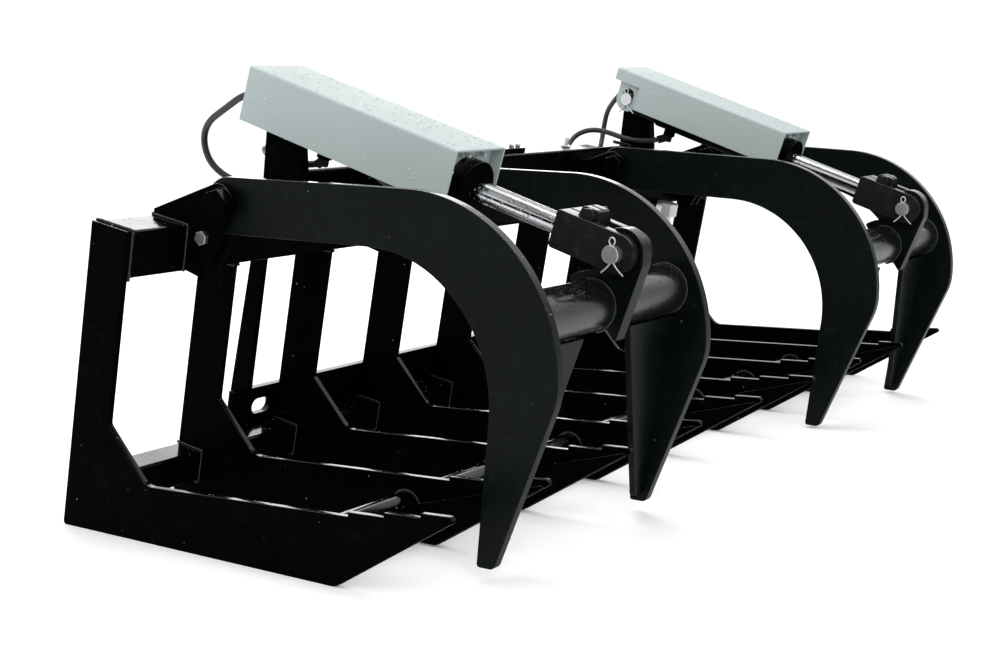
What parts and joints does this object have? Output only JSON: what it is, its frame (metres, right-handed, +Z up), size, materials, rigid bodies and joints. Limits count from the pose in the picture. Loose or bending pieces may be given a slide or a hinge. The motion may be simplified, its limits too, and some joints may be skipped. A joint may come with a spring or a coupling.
{
  "type": "brush grapple",
  "caption": "Brush grapple with serrated floor tines on a leaning back frame, two hydraulic clamping jaws with hooked arms and a quick-attach back",
  "frame": {"origin": "centre of the bounding box on the floor plane, under the middle of the grapple", "axes": "+X to the right seen from the front, -Y the way the tine tips point, +Z up"},
  "size_m": [1.8388, 0.8176, 0.6723],
  "materials": {
    "black_paint": "gloss black powder coat",
    "cover_paint": "light grey painted sheet",
    "chrome_rod": "hard chrome, ground",
    "zinc": "zinc plated",
    "cast_black": "black painted casting"
  },
  "bodies": {
    "frame": {"tine_1": "black_paint", "tine_2": "black_paint", "tine_3": "black_paint", "tine_4": "black_paint", "tine_5": "black_paint", "tine_6": "black_paint", "tine_7": "black_paint", "tine_8": "black_paint", "tine_9": "black_paint", "tine_side_bars": "black_paint", "main_tube": "black_paint", "lower_tube": "black_paint", "front_pipe": "black_paint", "post_beam": "black_paint", "hinge_brackets_left": "black_paint", "hinge_brackets_right": "black_paint", "hinge_bolts": "black_paint", "hinge_washers": "black_paint", "bracket_stop_bolts": "zinc", "post_left": "black_paint", "post_right": "black_paint", "base_pins": "zinc", "attach_bar_left": "black_paint", "attach_bar_right": "black_paint", "attach_top_lip": "black_paint", "attach_lower_plate": "black_paint"},
    "jaw_left": {"hook_outer_left": "black_paint", "hook_inner_left": "black_paint", "jaw_pipe_left": "black_paint", "jaw_lug_left": "black_paint", "jaw_flanges_left": "black_paint"},
    "cylinder_left": {"barrel_left": "black_paint", "gland_left": "cast_black", "cylinder_base_left": "cast_black", "cover_left": "cover_paint", "cover_ears_left": "black_paint", "cover_end_plate_left": "cover_paint"},
    "rod_left": {"piston_rod_left": "chrome_rod", "rod_clevis_left": "cast_black", "rod_pin_left": "zinc"},
    "jaw_right": {"hook_outer_right": "black_paint", "hook_inner_right": "black_paint", "jaw_pipe_right": "black_paint", "jaw_lug_right": "black_paint", "jaw_flanges_right": "black_paint"},
    "cylinder_right": {"barrel_right": "black_paint", "gland_right": "cast_black", "cylinder_base_right": "cast_black", "cover_right": "cover_paint", "cover_ears_right": "black_paint", "cover_end_plate_right": "cover_paint"},
    "rod_right": {"piston_rod_right": "chrome_rod", "rod_clevis_right": "cast_black", "rod_pin_right": "zinc"}
  },
  "joints": [
    {"name": "jaw_left_hinge", "type": "hinge", "parent": "frame", "child": "jaw_left", "pos_m": [-0.57, 0.15247, 0.479], "axis": [-1, 0, 0], "range_deg": [-1.8, 54.2]},
    {"name": "cylinder_left_swing", "type": "hinge", "parent": "frame", "child": "cylinder_left", "pos_m": [-0.57, 0.22847, 0.606], "axis": [-1, 0, 0], "range_deg": [-1.6, 47.98]},
    {"name": "rod_left_slide", "type": "slide", "parent": "cylinder_left", "child": "rod_left", "axis": [0, -0.9591, -0.2831], "range_m": [-0.12053, 0.00401]},
    {"name": "jaw_right_hinge", "type": "hinge", "parent": "frame", "child": "jaw_right", "pos_m": [0.57, 0.15247, 0.479], "axis": [-1, 0, 0], "range_deg": [0, 56]},
    {"name": "cylinder_right_swing", "type": "hinge", "parent": "frame", "child": "cylinder_right", "pos_m": [0.57, 0.22847, 0.606], "axis": [-1, 0, 0], "range_deg": [0, 49.46]},
    {"name": "rod_right_slide", "type": "slide", "parent": "cylinder_right", "child": "rod_right", "axis": [0, -0.9514, -0.3079], "range_m": [-0.12326, 0]}
  ],
  "couplings": [
    {"joint": "cylinder_left_swing", "follows": "jaw_left_hinge", "ratio": 0.885},
    {"joint": "rod_left_slide", "follows": "jaw_left_hinge", "m_per_rad": -0.1274},
    {"joint": "cylinder_right_swing", "follows": "jaw_right_hinge", "ratio": 0.883},
    {"joint": "rod_right_slide", "follows": "jaw_right_hinge", "m_per_rad": -0.1261}
  ]
}
